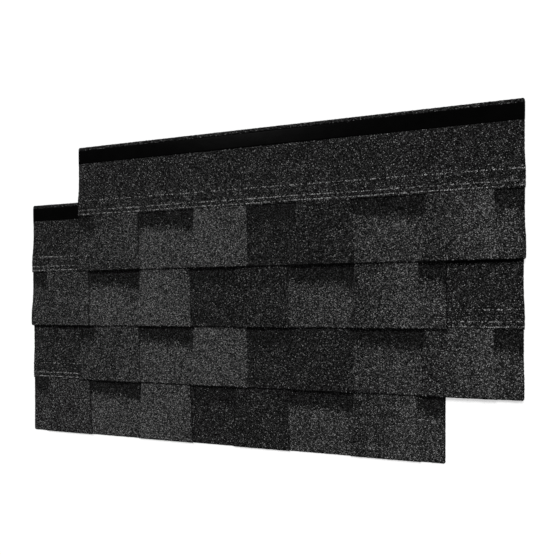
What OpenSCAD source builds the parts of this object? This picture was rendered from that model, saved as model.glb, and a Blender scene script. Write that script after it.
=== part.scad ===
// Four laminated asphalt shingles, laid over one another as staggered courses.
// The shingles' length runs along X, Y rises from the lowest course to the uppermost, and Z is up.
// Each shingle is a backing ply with a die-cut overlay ply bonded on it, and every sheet
// settles onto what lies below it.

/* [Shingle] */
// Length of one shingle
shingle_length = 1000; // [900:1:1100]
// Height of one shingle, from its lower edge to its headlap edge
shingle_height = 317; // [300:1:360]
// Radius of a shingle's corners
corner_radius = 5; // [1:0.5:10]

/* [Plies] */
// Thickness of the overlay ply with its granules
overlay_thickness = 2.8; // [2:0.1:4]
// Thickness of the backing ply with its granules
backer_thickness = 2.5; // [2:0.1:4]
// Height of backing ply bonded behind the overlay above the tooth roots
backer_lap = 26; // [20:1:35]

/* [Dragon teeth] */
// Distance from the left end to the root of the first tooth
first_gap = 46; // [20:1:80]
// Width of each tooth at its root, from left to right
tooth_widths = [122, 128, 117, 127]; // [80:1:140]
// Gap between each tooth and the next at their roots, from left to right
tooth_gaps = [145, 114, 146]; // [60:1:150]
// Distance that each side of a tooth leans out on its way to the lower edge
tooth_flare = 7; // [0:0.5:15]
// Height of tooth hidden under the next course
tooth_cover = 1; // [1:0.5:5]

/* [Release tape] */
// Width of the release tape
tape_width = 34; // [20:1:45]
// Granule-covered margin between the tape and the headlap edge
tape_margin = 8; // [3:0.5:15]
// Thickness of the release tape
tape_thickness = 0.3; // [0.1:0.1:0.5]
// Depth of the bare band, below the granules, that the tape lies in
tape_recess = 0.8; // [0.5:0.1:1.5]

/* [Sealant] */
// Length of one dash of sealant
sealant_dash = 60; // [30:1:90]
// Gap between two dashes of sealant
sealant_gap = 25; // [10:1:50]
// Width of the sealant line
sealant_width = 12; // [6:0.5:15]
// Thickness of the sealant line
sealant_thickness = 0.8; // [0.4:0.1:1.5]
// Distance between the sealant line and the lower edge
sealant_margin = 8; // [4:0.5:12]

/* [Lay] */
// Number of courses
courses = 4; // [2:1:6]
// Height of each course that the next one leaves bare
exposure = 139; // [125:1:155]
// Sideways shift of every second course
stagger = 139; // [50:1:300]
// Distance over which a sheet settles past an edge below it
settle_run = 60; // [40:1:80]

/* [Hidden] */
PIECES = ["backer", "overlay", "release_tape", "sealant"];

tooth_height = exposure + tooth_cover;
backer_height = tooth_height + backer_lap;
tape_top = shingle_height - tape_margin;
tape_bottom = tape_top - tape_width;
sealant_top = sealant_margin + sealant_width;
stack_length = shingle_length + stagger;
stack_depth = shingle_height + (courses - 1) * exposure;
// Above every sheet, so that a cut this tall goes right through
cut_height = courses * (overlay_thickness + backer_thickness + sealant_thickness);
// How far a cut runs past the edge that it opens
cut_past = 1;
// Spacing of the lines along which the settled sheets bend
bend_pitch = 10;
// Sheets share their bend lines to this many parts of a millimetre
bend_parts = 1000;
$fn = 48;

// Places of a course's left end and lower edge
function left_end(course) = (course - 1) % 2 * stagger - stack_length / 2;
function lower_edge(course) = (course - 1) * exposure - stack_depth / 2;

// Share of a height that is left at a distance past the edge that gave it
function settled(past) = let (s = max(0, min(1, past / settle_run))) 1 - s * s * (3 - 2 * s);

// Height of what a course lies on: the course below it, and the floor past that one's headlap edge
function bed(course, y) = course == 1 ? 0 :
    let (edge = lower_edge(course - 1) + shingle_height)
    overlay_top(course - 1, min(y, edge)) * settled(y - edge);

// The sealant holds the lower edge up from the bed, and the backing ply settles behind it
function backer_base(course, y) =
    bed(course, y) + sealant_thickness * settled(y - lower_edge(course) - sealant_top);

// The overlay lies on the backing ply, and settles to the bed past that one's upper edge
function overlay_base(course, y) =
    let (edge = lower_edge(course) + backer_height)
    let (over_backer = backer_base(course, min(y, edge)) + backer_thickness)
    max(bed(course, y), over_backer * settled(y - edge));
function overlay_top(course, y) = overlay_base(course, y) + overlay_thickness;

// Bend lines: an even pitch, and every edge that a sheet has or lies over
function in_order(values) = len(values) < 2 ? values :
    let (middle = values[floor(len(values) / 2)])
    concat(
        in_order([for (value = values) if (value < middle) value]),
        [middle],
        in_order([for (value = values) if (value > middle) value])
    );
function snapped(y) = round(y * bend_parts) / bend_parts;
sheet_edges = [0, sealant_margin, sealant_top, backer_height, tape_bottom, tape_top, shingle_height];
bend_lines = in_order(concat(
    [for (y = [0 : bend_pitch : stack_depth]) snapped(y - stack_depth / 2)],
    [for (course = [1 : courses], edge = sheet_edges) snapped(lower_edge(course) + edge)]
));

// Section of a sheet between two heights of a course, from its underside base(y)
function section(course, low, high, base, thickness) =
    let (from = snapped(lower_edge(course) + low), to = snapped(lower_edge(course) + high))
    let (lines = [for (y = bend_lines) if (y >= from && y <= to) y])
    concat(
        [for (y = lines) [y, base(y)]],
        [for (i = [len(lines) - 1 : -1 : 0]) [lines[i], base(lines[i]) + thickness]]
    );

// A settled sheet, from its section, as long as the shingle or as one dash of that length
module settled_sheet(points, start, length) {
    translate([start, 0, 0])
        rotate([90, 0, 90])
            linear_extrude(length)
                polygon(points);
}

// Plan of a sheet with round corners
module rounded_sheet(length, height) {
    translate([corner_radius, 0])
        square([length - 2 * corner_radius, height]);
    translate([0, corner_radius])
        square([length, height - 2 * corner_radius]);
    for (x = [corner_radius, length - corner_radius], y = [corner_radius, height - corner_radius])
        translate([x, y])
            circle(corner_radius);
}

// Where each tooth's root starts, worked out along the row of teeth and gaps
function tooth_start(i) = i == 0 ? first_gap : tooth_start(i - 1) + tooth_widths[i - 1] + tooth_gaps[i - 1];
function tooth_end(i) = tooth_start(i) + tooth_widths[i];

// Plan of the gap between a tooth that ends at one root and a tooth that starts at another
module tooth_gap(from, to) {
    polygon([
        [from, tooth_height],
        [from + tooth_flare, -cut_past],
        [to - tooth_flare, -cut_past],
        [to, tooth_height]
    ]);
}

// Plan of the overlay: a plain headlap above a row of dragon teeth
module overlay_plan() {
    last = len(tooth_widths) - 1;
    difference() {
        rounded_sheet(shingle_length, shingle_height);
        tooth_gap(-cut_past - tooth_flare, tooth_start(0));
        for (i = [1 : last])
            tooth_gap(tooth_end(i - 1), tooth_start(i));
        tooth_gap(tooth_end(last), shingle_length + cut_past + tooth_flare);
    }
}

// Keeps what lies over a plan that is drawn from a course's lower left corner
module cut_to_plan(course) {
    intersection() {
        children(0);
        translate([left_end(course), lower_edge(course), 0])
            linear_extrude(cut_height)
                children(1);
    }
}

module backer(course) {
    base = function(y) backer_base(course, y);
    color("#343435")
        cut_to_plan(course) {
            settled_sheet(
                section(course, 0, backer_height, base, backer_thickness),
                left_end(course), shingle_length
            );
            rounded_sheet(shingle_length, backer_height);
        }
}

module overlay(course) {
    base = function(y) overlay_base(course, y);
    band_base = function(y) overlay_top(course, y) - tape_recess;
    color("#2c2c2d")
        difference() {
            cut_to_plan(course) {
                settled_sheet(
                    section(course, 0, shingle_height, base, overlay_thickness),
                    left_end(course), shingle_length
                );
                overlay_plan();
            }
            settled_sheet(
                section(course, tape_bottom, tape_top, band_base, tape_recess + cut_past),
                left_end(course) - cut_past, shingle_length + 2 * cut_past
            );
        }
}

module release_tape(course) {
    base = function(y) overlay_top(course, y) - tape_recess;
    color("#0a0a0b")
        settled_sheet(
            section(course, tape_bottom, tape_top, base, tape_thickness),
            left_end(course), shingle_length
        );
}

module sealant(course) {
    base = function(y) bed(course, y);
    pitch = sealant_dash + sealant_gap;
    dashes = floor((shingle_length - sealant_gap) / pitch);
    start = left_end(course) + (shingle_length - dashes * pitch + sealant_gap) / 2;
    color("#151516")
        for (i = [0 : dashes - 1])
            settled_sheet(
                section(course, sealant_margin, sealant_top, base, sealant_thickness),
                start + i * pitch, sealant_dash
            );
}

for (course = [1 : courses]) {
    backer(course);
    overlay(course);
    release_tape(course);
    sealant(course);
}
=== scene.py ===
"""Looks of four laminated asphalt shingles, laid over one another as staggered courses.

The plies, release tapes and sealant lines are rebuilt as fine meshes on the CAD sheets, which they follow.
"""

import math
from types import SimpleNamespace

import bpy
import numpy as np
from bpy.props import FloatProperty, FloatVectorProperty, PointerProperty
from mathutils import Matrix, Vector


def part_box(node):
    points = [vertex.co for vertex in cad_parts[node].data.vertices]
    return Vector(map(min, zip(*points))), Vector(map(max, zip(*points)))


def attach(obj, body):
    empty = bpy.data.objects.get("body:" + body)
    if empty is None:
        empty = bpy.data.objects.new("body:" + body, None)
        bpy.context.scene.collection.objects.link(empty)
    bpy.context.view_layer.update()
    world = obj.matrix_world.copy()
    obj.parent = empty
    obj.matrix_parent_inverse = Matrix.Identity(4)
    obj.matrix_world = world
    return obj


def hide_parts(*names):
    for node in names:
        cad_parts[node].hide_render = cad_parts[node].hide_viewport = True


bl_info = {
    "name": "Laid Asphalt Shingles",
    "version": (1, 0, 0),
    "blender": (4, 5, 0),
    "location": "3D View > Sidebar > Shingles",
    "description": "Dresses laid laminated shingles with granules, release tape, sealant and a studio stage",
    "category": "Object",
}

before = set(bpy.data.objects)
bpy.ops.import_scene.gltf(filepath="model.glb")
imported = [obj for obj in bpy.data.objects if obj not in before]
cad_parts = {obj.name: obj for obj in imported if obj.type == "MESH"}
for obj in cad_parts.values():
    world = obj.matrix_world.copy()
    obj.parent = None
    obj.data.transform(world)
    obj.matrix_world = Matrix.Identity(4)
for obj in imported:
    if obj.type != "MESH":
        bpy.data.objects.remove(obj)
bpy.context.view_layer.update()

MM = 0.001
COURSES = sorted(int(name.split("_")[1]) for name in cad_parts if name.endswith("_overlay"))
# Mesh attribute that holds how far along and up its shingle a point lies, in metres
PLACE = "shingle_place"
# The photograph's frame, which the camera's lens is worked out for
IMAGE_PIXELS = 555
# Order of a sheet's materials: its top, its cut edges and its back
TOP, EDGE, BACK = range(3)
# How far the cut leans in under a ply
CUT_INSET = 0.4 * MM
# Size of the soft clouds in a blend, and how far its share of light granules varies in them
CLOUD_SIZE = 35 * MM
CLOUD_DEPTH = 0.5
# Seeds of the random draws of each kind of piece, to which the course's number is added
OVERLAY_SEED, BACKER_SEED, TAPE_SEED, SEALANT_SEED = 0, 100, 200, 300
WHITE = (1.0, 1.0, 1.0, 1.0)


def linear(code):
    """Linear RGB of an sRGB hex colour."""
    parts = [int(code[i : i + 2], 16) / 255 for i in (0, 2, 4)]
    return tuple(p / 12.92 if p <= 0.04045 else ((p + 0.055) / 1.055) ** 2.4 for p in parts)


class GranuleSettings(bpy.types.PropertyGroup):
    """Granules of both plies, and the asphalt and sand that they are bedded in."""

    mesh_pitch: FloatProperty(
        name="Mesh pitch",
        description="Spacing of the points of the granule relief",
        default=2.3 * MM,
        unit="LENGTH",
    )
    relief: FloatProperty(
        name="Relief",
        description="Height between the tops of the granules and the deepest gaps between them",
        default=0.7 * MM,
        unit="LENGTH",
    )
    granule_size: FloatProperty(
        name="Granule size",
        description="Size of one granule",
        default=1.35 * MM,
        unit="LENGTH",
    )
    bare_rim: FloatProperty(
        name="Bare rim",
        description="Width of the rim along the cut edges where granules are broken off",
        default=3 * MM,
        unit="LENGTH",
    )
    ragged_edge: FloatProperty(
        name="Ragged edge",
        description="Depth to which the cut edges are ragged",
        default=0.5 * MM,
        unit="LENGTH",
    )
    dark_granule: FloatVectorProperty(
        name="Dark granules",
        description="Mean colour of the dark granules",
        default=linear("161616"),
        subtype="COLOR",
    )
    light_granule: FloatVectorProperty(
        name="Light granules",
        description="Mean colour of the light granules",
        default=linear("3a3a3a"),
        subtype="COLOR",
    )
    nail_paint: FloatVectorProperty(
        name="Nail line paint",
        description="Colour of the painted nail lines",
        default=linear("c8c8c8"),
        subtype="COLOR",
    )
    asphalt: FloatVectorProperty(
        name="Asphalt",
        description="Colour of the asphalt between the granules and where a ply is cut",
        default=linear("080808"),
        subtype="COLOR",
    )
    back_sand: FloatVectorProperty(
        name="Back sand",
        description="Colour of the fine sand on the backs of the plies",
        default=linear("555350"),
        subtype="COLOR",
    )


class TapeSettings(bpy.types.PropertyGroup):
    """Release tape and sealant."""

    film: FloatVectorProperty(
        name="Film",
        description="Colour of the release tape",
        default=linear("020202"),
        subtype="COLOR",
    )
    ripple: FloatProperty(
        name="Ripple",
        description="Mean height of the film's ripples",
        default=0.12 * MM,
        unit="LENGTH",
    )
    sealant: FloatVectorProperty(
        name="Sealant",
        description="Colour of the sealant",
        default=linear("0c0c0d"),
        subtype="COLOR",
    )


class StageSettings(bpy.types.PropertyGroup):
    """Floor, light and camera."""

    floor: FloatVectorProperty(
        name="Floor",
        description="Colour of the floor",
        default=linear("c8c8c8"),
        subtype="COLOR",
    )
    floor_glow: FloatProperty(
        name="Floor glow",
        description="White that the camera sees on the floor beside what the lamps give it",
        default=0.45,
    )
    sky: FloatProperty(
        name="Sky",
        description="Strength of the even light from all round",
        default=0.36,
    )
    key_strength: FloatProperty(
        name="Key light",
        description="Strength of the soft light from above and beyond the uppermost course",
        default=2.72,
    )
    key_from: FloatVectorProperty(
        name="Key light direction",
        description="Direction that the soft light comes from",
        default=(-0.8, 2.65, 3.4),
        subtype="DIRECTION",
    )
    key_spread: FloatProperty(
        name="Key light spread",
        description="Angle across the soft light, as seen from the shingles",
        default=math.radians(22),
        unit="ROTATION",
    )
    eye: FloatVectorProperty(
        name="Eye",
        description="Place of the camera",
        default=(0.1912, -0.0440, 0.8262),
        subtype="TRANSLATION",
    )
    aim: FloatVectorProperty(
        name="Aim",
        description="Point on the floor at which the camera looks",
        default=(0.0032, -0.0541, 0.0),
        subtype="TRANSLATION",
    )
    roll: FloatProperty(
        name="Roll",
        description="Turn of the camera about its view",
        default=math.radians(-0.114),
        unit="ROTATION",
    )
    focal_pixels: FloatProperty(
        name="Focal length",
        description="Focal length in pixels of the photograph",
        default=365.0,
    )
    shift: FloatVectorProperty(
        name="Shift",
        description="How far the frame lies right of and above the lens's middle, as shares of its width",
        default=(0.0606, 0.0626),
        size=2,
    )


def add_node(tree, kind, inputs=None, stops=None, **settings):
    """Add one shader node, set its settings and ramp stops, and set or link its inputs.

    Sockets that share a name go by number. A Math node's inputs are 0 to 2. A Mix node's are 0 for a factor,
    2 and 3 for two numbers, mixed at output 0, and 6 and 7 for two colours, mixed at output 2.
    """
    node = tree.nodes.new(kind)
    for name, value in settings.items():
        setattr(node, name, value)
    for key, value in (inputs or {}).items():
        if isinstance(value, bpy.types.NodeSocket):
            tree.links.new(value, node.inputs[key])
        else:
            node.inputs[key].default_value = value
    if stops:
        ramp = node.color_ramp
        while len(ramp.elements) < len(stops):
            ramp.elements.new(1.0)
        for element, (position, colour) in zip(ramp.elements, stops):
            element.position = position
            element.color = (*colour, 1.0)
    return node


def new_material(name, roughness, specular):
    """A material with an even roughness and shine, and its tree and shader."""
    material = bpy.data.materials.new(name)
    material.use_nodes = True
    shader = material.node_tree.nodes["Principled BSDF"]
    shader.inputs["Roughness"].default_value = roughness
    shader.inputs["Specular IOR Level"].default_value = specular
    return material, material.node_tree, shader


def grey(value):
    """A ramp stop's colour that stands for one number."""
    return (value, value, value)


def read_sheet(node):
    """What a CAD sheet measures: its lower left corner, size, corner radius, thickness and underside."""
    # A face whose normal points down at least this much is part of the underside
    downward = -0.5
    # Points this near the highest one are on the upper edge
    edge_zone = 0.1 * MM
    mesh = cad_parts[node].data
    low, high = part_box(node)
    points = np.array([vertex.co for vertex in mesh.vertices])
    under = {
        round(points[i][1] - low.y, 6): points[i][2]
        for face in mesh.polygons
        if face.normal.z < downward
        for i in face.vertices
    }
    lines = np.array(sorted(under))
    upper_edge = points[points[:, 1] > high.y - edge_zone]
    return SimpleNamespace(
        points=points - (low.x, low.y, 0),
        left=low.x,
        lower=low.y,
        length=high.x - low.x,
        height=high.y - low.y,
        corner=upper_edge[:, 0].min() - low.x,
        thickness=np.ptp(upper_edge[:, 2]),
        lines=lines,
        base=np.array([under[line] for line in lines]),
    )


def read_teeth(sheet):
    """Height of the tooth roots, and the tooth sides at their roots and at the lower edge."""
    # Points this near a sheet's ends belong to its ends, and all others to its teeth
    end_zone = 10 * MM
    # Points this near a height are at that height
    level_zone = 0.01 * MM
    inner = sheet.points[abs(sheet.points[:, 0] - sheet.length / 2) < sheet.length / 2 - end_zone]
    root = inner[:, 1].max()
    sides = [np.unique(inner[abs(inner[:, 1] - up) < level_zone, 0].round(5)) for up in (root, 0)]
    return SimpleNamespace(root=root, at_root=sides[0], at_tip=sides[1])


def spaced(edges, pitch):
    """Places from the first edge to the last, about a pitch apart, with one on every edge."""
    runs = [
        np.linspace(start, end, max(1, round((end - start) / pitch)), endpoint=False)
        for start, end in zip(edges, edges[1:])
    ]
    return np.concatenate([*runs, edges[-1:]])


def plain_grid(sheet, pitch_along, pitch_up):
    """Even points over a whole sheet."""
    columns = spaced(np.array([0, sheet.length]), pitch_along)
    rows = spaced(np.array([0, sheet.height]), pitch_up)
    along, up = np.meshgrid(columns, rows)
    cells = np.ones((len(rows) - 1, len(columns) - 1), bool)
    return SimpleNamespace(along=along, up=up, cells=cells)


def round_corners(sheet, grid):
    """Pull the ends of the rows near the upper and lower edges in to the corner radius."""
    # Length at each end of a row over which its points make way
    zone = 4 * sheet.corner
    along, up = grid.along, grid.up
    for row in range(len(up)):
        past = sheet.corner - min(up[row, 0], sheet.height - up[row, 0])
        if past > 0:
            inset = sheet.corner - math.sqrt(sheet.corner**2 - min(past, sheet.corner) ** 2)
            ends = [0, zone, sheet.length - zone, sheet.length]
            pulled = [inset, zone, sheet.length - zone, sheet.length - inset]
            along[row] = np.interp(along[row], ends, pulled)


def find_rim(cells):
    """The points of a grid that are in use, those on its rim, and each rim point's way inward."""
    present = np.pad(cells, 1).astype(int)
    left, right = present[:, :-1], present[:, 1:]
    lower, upper = present[:-1], present[1:]
    around = left[:-1] + right[:-1] + left[1:] + right[1:]
    rim = (around > 0) & (around < 4)
    to_right = (right - left)[:-1] + (right - left)[1:]
    to_upper = (upper - lower)[:, :-1] + (upper - lower)[:, 1:]
    inward = np.column_stack([to_right[rim], to_upper[rim]])
    return around > 0, rim, inward / np.linalg.norm(inward, axis=1, keepdims=True)


def loosen(grid, granules, rng, still_rows=()):
    """Move a grid's inner points off their even places, and its rim points in for a ragged edge.

    The rows that are to be still stay straight.
    """
    # Share of the pitch by which an inner point may move
    play = 0.3
    used, rim, inward = find_rim(grid.cells)
    inner = used & ~rim
    inner[list(still_rows)] = False
    for axis in (grid.along, grid.up):
        axis[inner] += rng.uniform(-play, play, inner.sum()) * granules.mesh_pitch
    pull = inward * rng.uniform(0, granules.ragged_edge, (len(inward), 1))
    pull[np.isin(np.nonzero(rim)[0], still_rows)] = 0
    grid.along[rim] += pull[:, 0]
    grid.up[rim] += pull[:, 1]


def granule_top(sheet, up, granules, rng):
    """Heights of a ply's top, with the relief of its granules."""
    skin = np.interp(up, sheet.lines, sheet.base) + sheet.thickness
    return skin - granules.relief * rng.random(skin.shape)


def sheet_object(name, sheet, grid, materials, cut_inset):
    """A closed mesh over a grid of points: its top, its cut edges and its underside."""
    # Height of a cut edge's widest part, and drop of its rim, as shares of the thickness
    belly_share, rim_drop = 0.45, 0.15
    along, up, top, cells = grid.along, grid.up, grid.top, grid.cells
    used, rim, inward = find_rim(cells)
    base = np.interp(up, sheet.lines, sheet.base)
    belly = base + belly_share * sheet.thickness
    top[rim] -= rim_drop * sheet.thickness
    flat = np.stack([along, up], axis=-1)
    rings = [
        np.column_stack([flat[used], top[used]]),
        np.column_stack([flat[rim], belly[rim]]),
        np.column_stack([flat[rim] + inward * cut_inset, base[rim]]),
    ]
    starts = np.cumsum([0, *(len(ring) for ring in rings)])
    ids = [np.full(along.shape, -1) for _ in rings]
    for ring_ids, where, start in zip(ids, (used, rim, rim), starts):
        ring_ids[where] = start + np.arange(where.sum())
    top_id, belly_id, base_id = ids

    row, column = np.nonzero(cells)
    lower = [top_id[row, column], top_id[row, column + 1]]
    upper = [top_id[row + 1, column + 1], top_id[row + 1, column]]
    faces = np.stack(lower + upper, axis=1).tolist()
    top_count = len(faces)
    # Each side of a cell: the place of its neighbour there in the padded cells, and the side's two ends
    sides = [
        ((0, 1), (0, 0), (0, 1)),
        ((1, 2), (0, 1), (1, 1)),
        ((2, 1), (1, 1), (1, 0)),
        ((1, 0), (1, 0), (0, 0)),
    ]
    for beside, start, end in sides:
        bare = ~np.pad(cells, 1)[beside[0] :, beside[1] :][: cells.shape[0], : cells.shape[1]]
        row, column = np.nonzero(cells & bare)
        near, far = (row + start[0], column + start[1]), (row + end[0], column + end[1])
        faces += np.stack([belly_id[near], belly_id[far], top_id[far], top_id[near]], axis=1).tolist()
        faces += np.stack([base_id[near], base_id[far], belly_id[far], belly_id[near]], axis=1).tolist()
    edge_count = len(faces) - top_count
    faces += underside_strips(cells, rim, base_id)

    mesh = bpy.data.meshes.new(name)
    points = np.concatenate(rings)
    mesh.from_pydata((points + (sheet.left, sheet.lower, 0)).tolist(), [], faces)
    kinds = np.full(len(faces), BACK)
    kinds[: top_count + edge_count] = EDGE
    kinds[:top_count] = TOP
    mesh.polygons.foreach_set("material_index", kinds)
    mesh.polygons.foreach_set("use_smooth", kinds == TOP)
    place = mesh.attributes.new(PLACE, "FLOAT_VECTOR", "POINT")
    place.data.foreach_set("vector", (points * (1, 1, 0)).astype(np.float32).ravel())
    for material in materials:
        mesh.materials.append(material)
    return linked_object(name, mesh)


def underside_strips(cells, rim, base_id, strip_rows=6):
    """Faces of an underside: strips of a few rows, across each run of cells, that end on the cut edges."""
    faces = []
    changes = np.nonzero((cells[1:] != cells[:-1]).any(axis=1))[0] + 1
    bands = [0, *changes, len(cells)]
    for band_start, band_end in zip(bands, bands[1:]):
        steps = np.flatnonzero(np.diff(np.pad(cells[band_start].astype(int), 1)))
        for first in range(band_start, band_end, strip_rows):
            last = min(first + strip_rows, band_end)
            between = np.arange(first + 1, last)
            for left, right in zip(steps[::2], steps[1::2]):
                across = np.arange(left, right + 1)
                lower = base_id[first, across][rim[first, across]]
                upper = base_id[last, across][rim[last, across]]
                outline = [lower[::-1], base_id[between, left], upper, base_id[between[::-1], right]]
                faces.append(np.concatenate(outline).tolist())
    return faces


def linked_object(name, data):
    """A new object in the scene."""
    if isinstance(data, bpy.types.Mesh):
        data.update()
    obj = bpy.data.objects.new(name, data)
    bpy.context.scene.collection.objects.link(obj)
    return obj


def speck_colours(tree, granules, draws, light_share):
    """Colour of each granule, a dark or a light one by the blend's share, in tones around its mean."""
    # Shares of a granule's mean colour, from the darkest granules to the palest
    tones = ((0.0, 0.02), (0.42, 0.4), (0.78, 1.8), (1.0, 8.6))
    is_light = add_node(tree, "ShaderNodeMath", {0: draws["Green"], 1: light_share}, operation="LESS_THAN")
    dark, light = [
        add_node(
            tree,
            "ShaderNodeValToRGB",
            {"Fac": draws["Red"]},
            stops=[(position, [tone * part for part in colour]) for position, tone in tones],
        ).outputs["Color"]
        for colour in (granules.dark_granule, granules.light_granule)
    ]
    return add_node(
        tree, "ShaderNodeMix", {0: is_light.outputs[0], 6: dark, 7: light}, data_type="RGBA"
    ).outputs[2]


def broken_granules(tree, granules, sheet, place, draws):
    """1 for the granules that the die broke off along a sheet's ends and lower edge, and 0 for the rest."""
    # Nearer to the cut than this, no granule is left
    all_broken = 0.8 * MM
    along, up = add_node(tree, "ShaderNodeSeparateXYZ", {"Vector": place}).outputs[:2]
    from_end = add_node(tree, "ShaderNodeMath", {0: along, 1: sheet.length / 2}, operation="PINGPONG")
    from_cut = add_node(tree, "ShaderNodeMath", {0: from_end.outputs[0], 1: up}, operation="MINIMUM")
    kept = add_node(
        tree,
        "ShaderNodeMapRange",
        {"Value": from_cut.outputs[0], "From Min": all_broken, "From Max": granules.bare_rim},
    )
    return add_node(
        tree, "ShaderNodeMath", {0: draws["Blue"], 1: kept.outputs[0]}, operation="GREATER_THAN"
    ).outputs[0]


def granule_material(name, granules, sheet, pattern):
    """Crushed stone with a fired ceramic coat, rolled into hot asphalt: a matt skin of dark and pale specks.

    Along a sheet's ends and lower edge, the die broke granules off and the asphalt shows. The ply's pattern
    gives the share of light granules, and the paint where it has some.
    """
    # Width of a granule's sloping sides, as a share of its size
    slope_width = 0.2
    # How far each granule darkens towards the asphalt's black at its edges: the asphalt in the gaps, and
    # painted shade between the granules
    gap_shade_and_asphalt = 0.7
    # How much further some granules stand out than others, as a share of a granule's height
    uneven_height = 0.6
    asphalt = (*granules.asphalt, 1.0)
    scale = 1 / granules.granule_size
    material, tree, shader = new_material(name, roughness=0.92, specular=0.015)
    place = add_node(tree, "ShaderNodeAttribute", attribute_name=PLACE).outputs["Vector"]
    spot = add_node(tree, "ShaderNodeTexCoord").outputs["Object"]
    granule = add_node(tree, "ShaderNodeTexVoronoi", {"Vector": spot, "Scale": scale})
    draws = add_node(tree, "ShaderNodeSeparateColor", {"Color": granule.outputs["Color"]}).outputs
    # The blends and the paint go by the middle of each granule, so that no granule is cut in two
    to_middle = add_node(
        tree, "ShaderNodeVectorMath", {0: granule.outputs["Position"], 1: spot}, operation="SUBTRACT"
    )
    middle = add_node(tree, "ShaderNodeVectorMath", {0: place, 1: to_middle.outputs[0]}).outputs[0]
    light_share, paint = pattern(tree, middle, granule.outputs["Position"], draws)

    colour = speck_colours(tree, granules, draws, light_share)
    if paint is not None:
        colour = add_node(
            tree, "ShaderNodeMix", {0: paint, 6: colour, 7: (*granules.nail_paint, 1.0)}, data_type="RGBA"
        ).outputs[2]
    broken = broken_granules(tree, granules, sheet, middle, draws)
    colour = add_node(
        tree, "ShaderNodeMix", {0: broken, 6: colour, 7: asphalt}, data_type="RGBA"
    ).outputs[2]
    edge = add_node(
        tree, "ShaderNodeTexVoronoi", {"Vector": spot, "Scale": scale}, feature="DISTANCE_TO_EDGE"
    )
    # Share of a granule's height that a point reaches, from the gap beside it to its crown
    crown = add_node(
        tree,
        "ShaderNodeMapRange",
        {"Value": edge.outputs["Distance"], "From Max": slope_width},
        interpolation_type="SMOOTHSTEP",
    ).outputs[0]
    # Asphalt rises between the granules, and painted shade darkens them towards its black where they meet
    shade_and_asphalt_mix = add_node(tree, "ShaderNodeMapRange", {"Value": crown, "To Min": gap_shade_and_asphalt, "To Max": 0.0})
    colour = add_node(
        tree, "ShaderNodeMix", {0: shade_and_asphalt_mix.outputs[0], 6: colour, 7: asphalt}, data_type="RGBA"
    ).outputs[2]
    height = add_node(
        tree, "ShaderNodeMath", {0: draws["Blue"], 1: uneven_height, 2: crown}, operation="MULTIPLY_ADD"
    )
    bump = add_node(
        tree,
        "ShaderNodeBump",
        {"Strength": 0.5, "Distance": granules.relief, "Height": height.outputs[0]},
    )
    tree.links.new(colour, shader.inputs["Base Color"])
    tree.links.new(bump.outputs[0], shader.inputs["Normal"])
    return material


def cloudy(tree, spot, share):
    """A share of light granules with soft clouds, as the drop of granules on the moving sheet varies."""
    cloud = add_node(tree, "ShaderNodeTexNoise", {"Vector": spot, "Scale": 1 / CLOUD_SIZE, "Detail": 2.0})
    low = add_node(tree, "ShaderNodeMath", {0: share, 1: CLOUD_DEPTH / 2}, operation="SUBTRACT")
    return add_node(
        tree,
        "ShaderNodeMath",
        {0: cloud.outputs[0], 1: CLOUD_DEPTH, 2: low.outputs[0]},
        operation="MULTIPLY_ADD",
    ).outputs[0]


def share_along(tree, sheet, place):
    """How far along its sheet a granule lies, from 0 at the left end to 1 at the right, and its height."""
    along, up = add_node(tree, "ShaderNodeSeparateXYZ", {"Vector": place}).outputs[:2]
    share = add_node(tree, "ShaderNodeMath", {0: along, 1: sheet.length}, operation="DIVIDE")
    return share.outputs[0], up


def side_stops(sheet, sides, pairs):
    """Ramp stops along a sheet for a number at the left and right sides of each tooth or gap."""
    return [(side / sheet.length, grey(value)) for side, value in zip(sides, np.ravel(pairs))]


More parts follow.
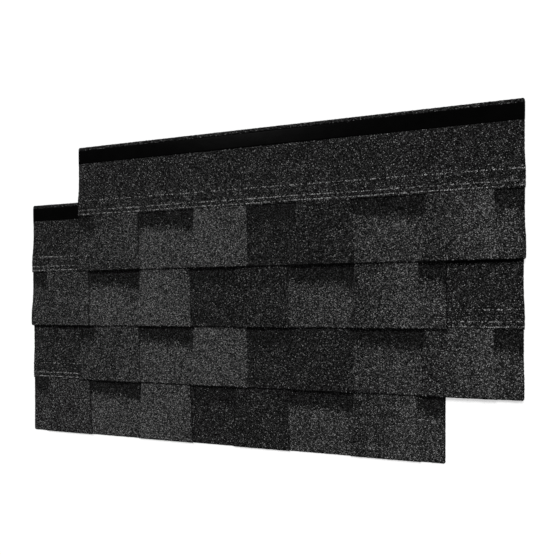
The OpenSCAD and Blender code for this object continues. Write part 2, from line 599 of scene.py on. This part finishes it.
def painted_lines(tree, teeth, up, spot, draws):
    """How thick the paint of the nail lines lies on each granule, from 0 to 1."""
    # Height of each painted line above the tooth roots, and the share of its granules that get paint
    nail_lines = ((5 * MM, 0.68), (15.2 * MM, 0.6), (39.4 * MM, 0.37))
    line_width = 2.1 * MM
    # How far a line strays from straight, and over what length
    line_stray = 1.5 * MM
    stray_length = 120 * MM
    # Length of the roller's skips, and the noise from which a skip turns to full contact
    skip_length = 5.5 * MM
    skips_at, full_at = 0.42, 0.6
    # What a skip and full contact add to the share of painted granules
    skip_change, full_change = -0.65, 0.42
    # Paint on the granules that take least of it
    least_paint = 0.1

    stray = add_node(tree, "ShaderNodeTexNoise", {"Vector": spot, "Scale": 1 / stray_length})
    strayed = add_node(
        tree, "ShaderNodeMath", {0: stray.outputs[0], 1: 2 * line_stray, 2: up}, operation="MULTIPLY_ADD"
    ).outputs[0]
    # The roller skips, so each line fades here and there and breaks into dashes and dots
    skip = add_node(
        tree,
        "ShaderNodeTexNoise",
        {"Vector": spot, "Scale": 1 / skip_length, "Detail": 3.0, "Roughness": 0.8},
    )
    change = add_node(
        tree,
        "ShaderNodeMapRange",
        {
            "Value": skip.outputs[0],
            "From Min": skips_at,
            "From Max": full_at,
            "To Min": skip_change,
            "To Max": full_change,
        },
    ).outputs[0]
    lines = []
    for height, reached in nail_lines:
        near = add_node(
            tree,
            "ShaderNodeMath",
            {0: strayed, 1: teeth.root + height + line_stray, 2: line_width / 2},
            operation="COMPARE",
        )
        limit = add_node(tree, "ShaderNodeMath", {0: change, 1: reached})
        touched = add_node(
            tree, "ShaderNodeMath", {0: draws["Blue"], 1: limit.outputs[0]}, operation="LESS_THAN"
        )
        line = add_node(
            tree, "ShaderNodeMath", {0: near.outputs[0], 1: touched.outputs[0]}, operation="MULTIPLY"
        )
        lines.append(line.outputs[0])
    painted = lines[0]
    for line in lines[1:]:
        painted = add_node(tree, "ShaderNodeMath", {0: painted, 1: line}, operation="MAXIMUM").outputs[0]
    # The paint lies thin on the granules, more so on some
    thin = add_node(
        tree, "ShaderNodeMapRange", {"Value": draws["Red"], "To Min": least_paint, "To Max": 1.0}
    )
    return add_node(
        tree, "ShaderNodeMath", {0: painted, 1: thin.outputs[0]}, operation="MULTIPLY"
    ).outputs[0]


def overlay_material(granules, sheet, teeth):
    """The overlay's granules: a plain headlap, teeth of different blends and painted nail lines."""
    # Share of light granules in the headlap, and at the left and right sides of each tooth
    headlap_share = 0.30
    tooth_shares = ((0.5, 0.63), (1.02, 0.86), (0.22, 0.24), (0.42, 0.95))

    def pattern(tree, place, spot, draws):
        along, up = share_along(tree, sheet, place)
        tooth_share = add_node(
            tree,
            "ShaderNodeValToRGB",
            {"Fac": along},
            stops=side_stops(sheet, teeth.at_root, tooth_shares),
        )
        in_teeth = add_node(tree, "ShaderNodeMath", {0: up, 1: teeth.root}, operation="LESS_THAN")
        share = add_node(
            tree,
            "ShaderNodeMix",
            {0: in_teeth.outputs[0], 2: headlap_share, 3: tooth_share.outputs["Color"]},
        )
        return cloudy(tree, spot, share.outputs[0]), painted_lines(tree, teeth, up, spot, draws)

    name = "Ceramic-coated granules rolled in asphalt, overlay"
    return granule_material(name, granules, sheet, pattern)


def backer_material(granules, sheet, teeth):
    """The backing ply's granules: a blend for each gap between teeth, under a dark shadow band."""
    # Share of light granules at the left and right sides of each gap, and in the shadow band
    gap_shares = ((0.5, 0.66), (1.0, 0.8), (0.2, 0.24), (0.64, 0.78), (0.72, 0.72))
    band_share = 0.03
    # The shadow band's depth below the tooth roots at the left, past the middle and at the right of a gap
    band_depths = ((0.0, 38 * MM), (0.7, 41 * MM), (1.0, 51 * MM))
    # How far the band's ragged edge strays, over what length, and over what height it fades
    edge_stray = 11 * MM
    stray_length = 14 * MM
    edge_fade = 21 * MM

    def pattern(tree, place, spot, draws):
        along, up = share_along(tree, sheet, place)
        gap_sides = np.array([0, *teeth.at_root, sheet.length])
        gap_share = add_node(
            tree, "ShaderNodeValToRGB", {"Fac": along}, stops=side_stops(sheet, gap_sides, gap_shares)
        )
        share = cloudy(tree, spot, gap_share.outputs["Color"])

        depth = add_node(
            tree,
            "ShaderNodeValToRGB",
            {"Fac": along},
            stops=[
                ((start + part * (end - start)) / sheet.length, grey(value / teeth.root))
                for start, end in gap_sides.reshape(-1, 2)
                for part, value in band_depths
            ],
        )
        stray = add_node(
            tree, "ShaderNodeTexNoise", {"Vector": spot, "Scale": 1 / stray_length, "Detail": 3.0}
        )
        # Height above the band's lower edge: up - (root - depth) + stray
        from_root = add_node(
            tree,
            "ShaderNodeMath",
            {0: depth.outputs["Color"], 1: teeth.root, 2: -teeth.root - edge_stray / 2},
            operation="MULTIPLY_ADD",
        )
        strayed = add_node(
            tree,
            "ShaderNodeMath",
            {0: stray.outputs[0], 1: edge_stray, 2: from_root.outputs[0]},
            operation="MULTIPLY_ADD",
        )
        above = add_node(tree, "ShaderNodeMath", {0: up, 1: strayed.outputs[0]})
        in_band = add_node(
            tree,
            "ShaderNodeMapRange",
            {"Value": above.outputs[0], "From Min": -edge_fade / 2, "From Max": edge_fade / 2},
        )
        share = add_node(tree, "ShaderNodeMix", {0: in_band.outputs[0], 2: share, 3: band_share})
        return share.outputs[0], None

    name = "Ceramic-coated granules rolled in asphalt, backing ply"
    return granule_material(name, granules, sheet, pattern)


def cut_asphalt_material(granules):
    """Filled asphalt on a glass mat, die-cut: a black, slightly crumbly edge with stone dust in it.

    The dust is drawn in clumps, because its grains are too fine to show.
    """
    dust_size = 1.5 * MM
    material, tree, shader = new_material("Filled asphalt, die-cut", roughness=0.75, specular=0.2)
    spot = add_node(tree, "ShaderNodeTexCoord").outputs["Object"]
    dust = add_node(
        tree, "ShaderNodeTexNoise", {"Vector": spot, "Scale": 1 / dust_size, "Detail": 4.0}
    ).outputs[0]
    colour = add_node(
        tree,
        "ShaderNodeValToRGB",
        {"Fac": dust},
        stops=[(0.45, granules.asphalt), (0.75, granules.dark_granule)],
    )
    bump = add_node(tree, "ShaderNodeBump", {"Strength": 0.6, "Distance": 0.4 * MM, "Height": dust})
    tree.links.new(colour.outputs["Color"], shader.inputs["Base Color"])
    tree.links.new(bump.outputs[0], shader.inputs["Normal"])
    return material


def sanded_back_material(granules):
    """Asphalt dusted with fine sand so that the sheets don't stick: dark with pale specks.

    The sand is drawn coarser than the real quarter of a millimetre, so that it shows.
    """
    sand_size = 1.4 * MM
    smear_size = 60 * MM
    material, tree, shader = new_material("Asphalt, dusted with fine sand", roughness=0.9, specular=0.15)
    spot = add_node(tree, "ShaderNodeTexCoord").outputs["Object"]
    sand = add_node(tree, "ShaderNodeTexVoronoi", {"Vector": spot, "Scale": 1 / sand_size})
    smear = add_node(tree, "ShaderNodeTexNoise", {"Vector": spot, "Scale": 1 / smear_size, "Detail": 3.0})
    draw = add_node(tree, "ShaderNodeSeparateColor", {"Color": sand.outputs["Color"]}).outputs["Red"]
    speck = add_node(tree, "ShaderNodeMath", {0: draw, 1: smear.outputs[0]}, operation="MULTIPLY")
    colour = add_node(
        tree,
        "ShaderNodeValToRGB",
        {"Fac": speck.outputs[0]},
        stops=[(0.1, granules.asphalt), (0.35, granules.dark_granule), (0.7, granules.back_sand)],
    )
    bump = add_node(tree, "ShaderNodeBump", {"Strength": 0.4, "Distance": 0.3 * MM, "Height": draw})
    tree.links.new(colour.outputs["Color"], shader.inputs["Base Color"])
    tree.links.new(bump.outputs[0], shader.inputs["Normal"])
    return material


def film_material(tape):
    """Polyester film, cast smooth and dyed black: dark, with a low satin shine and slack ripples."""
    ripple_size = 9 * MM
    # The ripples run along the tape, so their pattern is drawn out that way
    drawn_out = (0.3, 1.0, 1.0)
    scuff_size = 30 * MM
    scuffed = [2 * part for part in tape.film]
    material, tree, shader = new_material("Polyester film, cast black", roughness=0.25, specular=0.006)
    spot = add_node(tree, "ShaderNodeTexCoord").outputs["Object"]
    stretched = add_node(tree, "ShaderNodeMapping", {"Vector": spot, "Scale": drawn_out}).outputs[0]
    slack = add_node(
        tree, "ShaderNodeTexNoise", {"Vector": stretched, "Scale": 1 / ripple_size, "Detail": 2.0}
    ).outputs[0]
    scuff = add_node(tree, "ShaderNodeTexNoise", {"Vector": spot, "Scale": 1 / scuff_size, "Detail": 5.0})
    colour = add_node(
        tree, "ShaderNodeValToRGB", {"Fac": scuff.outputs[0]}, stops=[(0.35, tape.film), (0.8, scuffed)]
    )
    bump = add_node(tree, "ShaderNodeBump", {"Strength": 0.25, "Distance": 0.3 * MM, "Height": slack})
    tree.links.new(colour.outputs["Color"], shader.inputs["Base Color"])
    tree.links.new(bump.outputs[0], shader.inputs["Normal"])
    return material


def sealant_material(tape):
    """Thermoplastic asphalt adhesive, extruded hot: a black bead with a soft shine and fine pits."""
    pit_size = 4 * MM
    dusted = [2.5 * part for part in tape.sealant]
    material, tree, shader = new_material("Asphalt adhesive, extruded hot", roughness=0.4, specular=0.4)
    spot = add_node(tree, "ShaderNodeTexCoord").outputs["Object"]
    pits = add_node(
        tree, "ShaderNodeTexNoise", {"Vector": spot, "Scale": 1 / pit_size, "Detail": 4.0}
    ).outputs[0]
    colour = add_node(tree, "ShaderNodeValToRGB", {"Fac": pits}, stops=[(0.3, tape.sealant), (0.8, dusted)])
    bump = add_node(tree, "ShaderNodeBump", {"Strength": 0.3, "Distance": 0.3 * MM, "Height": pits})
    tree.links.new(colour.outputs["Color"], shader.inputs["Base Color"])
    tree.links.new(bump.outputs[0], shader.inputs["Normal"])
    return material


def seen_rays(tree):
    """1 for the rays by which the camera sees something, directly or in a shine, and 0 for its light."""
    ray = add_node(tree, "ShaderNodeLightPath").outputs
    direct = add_node(
        tree, "ShaderNodeMath", {0: ray["Is Camera Ray"], 1: ray["Is Glossy Ray"]}, operation="MAXIMUM"
    )
    return add_node(
        tree, "ShaderNodeMath", {0: direct.outputs[0], 1: ray["Is Transmission Ray"]}, operation="MAXIMUM"
    ).outputs[0]


def floor_material(stage):
    """Matt white paper: even and pale. The camera and reflections also see a little white of its own."""
    material, tree, shader = new_material("Paper, matt white", roughness=0.95, specular=0.0)
    shader.inputs["Base Color"].default_value = (*stage.floor, 1.0)
    shader.inputs["Emission Color"].default_value = WHITE
    glow = add_node(
        tree, "ShaderNodeMath", {0: seen_rays(tree), 1: stage.floor_glow}, operation="MULTIPLY"
    )
    tree.links.new(glow.outputs[0], shader.inputs["Emission Strength"])
    return material


def lay_floor(stage):
    """A floor that reaches far past the shingles, just under them so that no two faces share a plane."""
    half, drop = 6.0, 0.2 * MM
    mesh = bpy.data.meshes.new("floor")
    corners = [(-half, -half, -drop), (half, -half, -drop), (half, half, -drop), (-half, half, -drop)]
    mesh.from_pydata(corners, [], [(0, 1, 2, 3)])
    mesh.materials.append(floor_material(stage))
    linked_object("floor", mesh)


def light_studio(scene, stage):
    """Even light from all round, which the camera sees as white, and one soft light."""
    world = bpy.data.worlds.new("studio")
    world.use_nodes = True
    tree = world.node_tree
    background = tree.nodes["Background"]
    background.inputs["Color"].default_value = WHITE
    strength = add_node(
        tree, "ShaderNodeMapRange", {"Value": seen_rays(tree), "To Min": stage.sky, "To Max": 1.0}
    )
    tree.links.new(strength.outputs[0], background.inputs["Strength"])
    scene.world = world

    lamp = bpy.data.lights.new("key_light", "SUN")
    lamp.energy = stage.key_strength
    lamp.angle = stage.key_spread
    key = linked_object("key_light", lamp)
    key.rotation_euler = Vector(stage.key_from).to_track_quat("Z", "Y").to_euler()


def set_camera(scene, stage):
    """A camera that looks down on the shingles, with their upper edge at the top of its picture."""
    lens = bpy.data.cameras.new("camera")
    lens.lens = stage.focal_pixels / IMAGE_PIXELS * lens.sensor_width
    lens.shift_x, lens.shift_y = stage.shift
    camera = linked_object("camera", lens)
    back = (Vector(stage.eye) - Vector(stage.aim)).normalized()
    right = Vector((0, 1, 0)).cross(back).normalized()
    axes = Matrix((right, back.cross(right), back)).transposed()
    turned = axes @ Matrix.Rotation(stage.roll, 3, "Z")
    camera.matrix_world = Matrix.LocRotScale(Vector(stage.eye), turned, None)
    scene.camera = camera


def place_piece(obj, node):
    """Let a piece stand for its CAD node, on the one body that there is."""
    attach(obj, "root")
    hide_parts(node)


class SHINGLES_OT_stage(bpy.types.Operator):
    """Set up the floor, the light and the camera"""

    bl_idname = "shingles.stage"
    bl_label = "Set Up Stage"

    def execute(self, context):
        stage = context.scene.shingle_stage
        lay_floor(stage)
        light_studio(context.scene, stage)
        set_camera(context.scene, stage)
        context.scene.view_settings.view_transform = "Standard"
        return {"FINISHED"}


class SHINGLES_OT_backers(bpy.types.Operator):
    """Build the backing plies with their granules and shadow bands"""

    bl_idname = "shingles.backers"
    bl_label = "Build Backing Plies"

    def execute(self, context):
        granules = context.scene.shingle_granules
        teeth = read_teeth(read_sheet(f"course_{COURSES[0]}_overlay"))
        sheets = {course: read_sheet(f"course_{course}_backer") for course in COURSES}
        materials = [
            backer_material(granules, sheets[COURSES[0]], teeth),
            cut_asphalt_material(granules),
            sanded_back_material(granules),
        ]
        for course, sheet in sheets.items():
            rng = np.random.default_rng(BACKER_SEED + course)
            grid = plain_grid(sheet, granules.mesh_pitch, granules.mesh_pitch)
            loosen(grid, granules, rng)
            round_corners(sheet, grid)
            grid.top = granule_top(sheet, grid.up, granules, rng)
            obj = sheet_object(f"backer_{course}", sheet, grid, materials, CUT_INSET)
            place_piece(obj, f"course_{course}_backer")
        return {"FINISHED"}


class SHINGLES_OT_overlays(bpy.types.Operator):
    """Build the overlay plies with their dragon teeth, granules and nail lines"""

    bl_idname = "shingles.overlays"
    bl_label = "Build Overlay Plies"

    def execute(self, context):
        granules = context.scene.shingle_granules
        sheets = {course: read_sheet(f"course_{course}_overlay") for course in COURSES}
        teeth = read_teeth(sheets[COURSES[0]])
        materials = [
            overlay_material(granules, sheets[COURSES[0]], teeth),
            cut_asphalt_material(granules),
            sanded_back_material(granules),
        ]
        for course, sheet in sheets.items():
            rng = np.random.default_rng(OVERLAY_SEED + course)
            tape_low, tape_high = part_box(f"course_{course}_release_tape")
            band = (tape_low.y - sheet.lower, tape_high.y - sheet.lower)
            grid = self.grid(sheet, teeth, band, tape_low.z, granules, rng)
            obj = sheet_object(f"overlay_{course}", sheet, grid, materials, CUT_INSET)
            place_piece(obj, f"course_{course}_overlay")
        return {"FINISHED"}

    @staticmethod
    def grid(sheet, teeth, band, band_floor, granules, rng):
        """Points of an overlay's top: granules all over, and a bare band for the release tape."""
        # Width of the step from the granules down to the bare band
        step = 0.5 * MM
        sides = np.concatenate([[0], teeth.at_root, [sheet.length]])
        tips = np.concatenate([[0], teeth.at_tip, [sheet.length]])
        columns = spaced(sides, granules.mesh_pitch)
        rows = spaced(
            np.array([0, teeth.root, band[0] - step, band[0], band[1], band[1] + step, sheet.height]),
            granules.mesh_pitch,
        )
        to_root = np.clip(rows / teeth.root, 0, 1)[:, None]
        along = to_root * columns + (1 - to_root) * np.interp(columns, sides, tips)
        up = np.repeat(rows[:, None], len(columns), axis=1)
        # Every second run of columns is a tooth, and the gaps between them have cells in the headlap only
        run = np.searchsorted(sides, (columns[1:] + columns[:-1]) / 2)
        cells = (rows[1:, None] > teeth.root + step) | (run % 2 == 0)
        grid = SimpleNamespace(along=along, up=up, cells=cells)
        in_band = (rows > band[0] - step / 2) & (rows < band[1] + step / 2)
        beside_band = np.flatnonzero((rows > band[0] - 2 * step) & (rows < band[1] + 2 * step))
        loosen(grid, granules, rng, still_rows=beside_band)
        round_corners(sheet, grid)
        grid.top = granule_top(sheet, grid.up, granules, rng)
        grid.top[in_band] = np.minimum(grid.top[in_band], band_floor)
        return grid


class SHINGLES_OT_release_tapes(bpy.types.Operator):
    """Build the black release tapes, slightly slack in their bands"""

    bl_idname = "shingles.release_tapes"
    bl_label = "Build Release Tapes"

    def execute(self, context):
        tape = context.scene.shingle_tape
        film = film_material(tape)
        # Spacing of the film's points, and lengths of the waves that make up its ripples
        pitch_along, pitch_up = 4 * MM, 3 * MM
        wave_lengths = (230 * MM, 110 * MM, 47 * MM)
        count = len(wave_lengths)
        for course in COURSES:
            node = f"course_{course}_release_tape"
            sheet = read_sheet(node)
            rng = np.random.default_rng(TAPE_SEED + course)
            grid = plain_grid(sheet, pitch_along, pitch_up)
            waves = sum(
                np.sin(2 * math.pi * (grid.along / length + slope * grid.up / length + turn))
                for length, slope, turn in zip(wave_lengths, rng.uniform(-1, 1, count), rng.random(count))
            )
            slack = np.sin(math.pi * grid.up / sheet.height)
            grid.top = np.interp(grid.up, sheet.lines, sheet.base) + sheet.thickness
            grid.top += tape.ripple * slack * (1 + waves / count)
            obj = sheet_object(f"release_tape_{course}", sheet, grid, [film, film, film], cut_inset=0.0)
            place_piece(obj, node)
        return {"FINISHED"}


class SHINGLES_OT_sealant(bpy.types.Operator):
    """Build the sealant lines as soft beads under the lower edges"""

    bl_idname = "shingles.sealant"
    bl_label = "Build Sealant Lines"

    def execute(self, context):
        material = sealant_material(context.scene.shingle_tape)
        for course in COURSES:
            node = f"course_{course}_sealant"
            points = np.array([vertex.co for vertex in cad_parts[node].data.vertices])
            dashes = np.unique(points[:, 0].round(6)).reshape(-1, 2)
            rng = np.random.default_rng(SEALANT_SEED + course)
            obj = self.beads(f"sealant_{course}", dashes, *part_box(node), material, rng)
            place_piece(obj, node)
        return {"FINISHED"}

    @staticmethod
    def beads(name, dashes, low, high, material, rng):
        """One bead for each dash: flat on top, round below, with drawn-out ends."""
        # Rings of points along a bead, and points in each
        stations, ring = 25, 14
        # Share of the width that is left at a bead's ends, and how suddenly they draw in
        end_width, end_power = 0.08, 6
        # The hot bead wavers between this share of its width and all of it
        least_width = 0.94
        # A power under 1 flattens the bead's belly, and a reach over 1 keeps it deep into its ends
        belly_power, depth_reach = 0.5, 1.1
        turn = np.linspace(math.pi, 0, ring)
        half_width = (high.y - low.y) / 2
        points, faces = [], []
        for start, end in dashes:
            first = len(points)
            for share in np.linspace(0, 1, stations):
                drawn_in = max(end_width, 1 - abs(2 * share - 1) ** end_power)
                swell = drawn_in * rng.uniform(least_width, 1.0)
                depth = (high.z - low.z) * min(1, depth_reach * swell)
                for angle in turn:
                    y = (low.y + high.y) / 2 + math.cos(angle) * half_width * swell
                    z = high.z - depth * math.sin(angle) ** belly_power
                    points.append((start + share * (end - start), y, max(low.z, z)))
            for here in range(first, first + (stations - 1) * ring, ring):
                there = here + ring
                faces += [(here + i, here + i + 1, there + i + 1, there + i) for i in range(ring - 1)]
                faces.append((there - 1, here, there, there + ring - 1))
            faces.append(tuple(range(first + ring - 1, first - 1, -1)))
            faces.append(tuple(range(first + (stations - 1) * ring, first + stations * ring)))
        mesh = bpy.data.meshes.new(name)
        mesh.from_pydata(points, [], faces)
        mesh.materials.append(material)
        mesh.polygons.foreach_set("use_smooth", [len(face) == 4 for face in faces])
        return linked_object(name, mesh)


class SHINGLES_PT_panel(bpy.types.Panel):
    """Lists what the shingles are made of"""

    bl_idname = "SHINGLES_PT_panel"
    bl_label = "Laid Shingles"
    bl_space_type = "VIEW_3D"
    bl_region_type = "UI"
    bl_category = "Shingles"

    def draw(self, context):
        for operator in OPERATORS:
            self.layout.operator(operator.bl_idname)
        for name in SETTINGS:
            settings = getattr(context.scene, name)
            box = self.layout.box()
            for key in settings.__annotations__:
                box.prop(settings, key)


OPERATORS = (
    SHINGLES_OT_stage,
    SHINGLES_OT_backers,
    SHINGLES_OT_overlays,
    SHINGLES_OT_release_tapes,
    SHINGLES_OT_sealant,
)
SETTINGS = {
    "shingle_granules": GranuleSettings,
    "shingle_tape": TapeSettings,
    "shingle_stage": StageSettings,
}


def register():
    for group in SETTINGS.values():
        bpy.utils.register_class(group)
    for name, group in SETTINGS.items():
        setattr(bpy.types.Scene, name, PointerProperty(type=group))
    for cls in (*OPERATORS, SHINGLES_PT_panel):
        bpy.utils.register_class(cls)


def unregister():
    for cls in (SHINGLES_PT_panel, *reversed(OPERATORS)):
        bpy.utils.unregister_class(cls)
    for name, group in SETTINGS.items():
        delattr(bpy.types.Scene, name)
        bpy.utils.unregister_class(group)


def main():
    """Build everything in order."""
    register()
    bpy.ops.shingles.stage()
    bpy.ops.shingles.backers()
    bpy.ops.shingles.overlays()
    bpy.ops.shingles.release_tapes()
    bpy.ops.shingles.sealant()


if __name__ == "__main__":
    main()
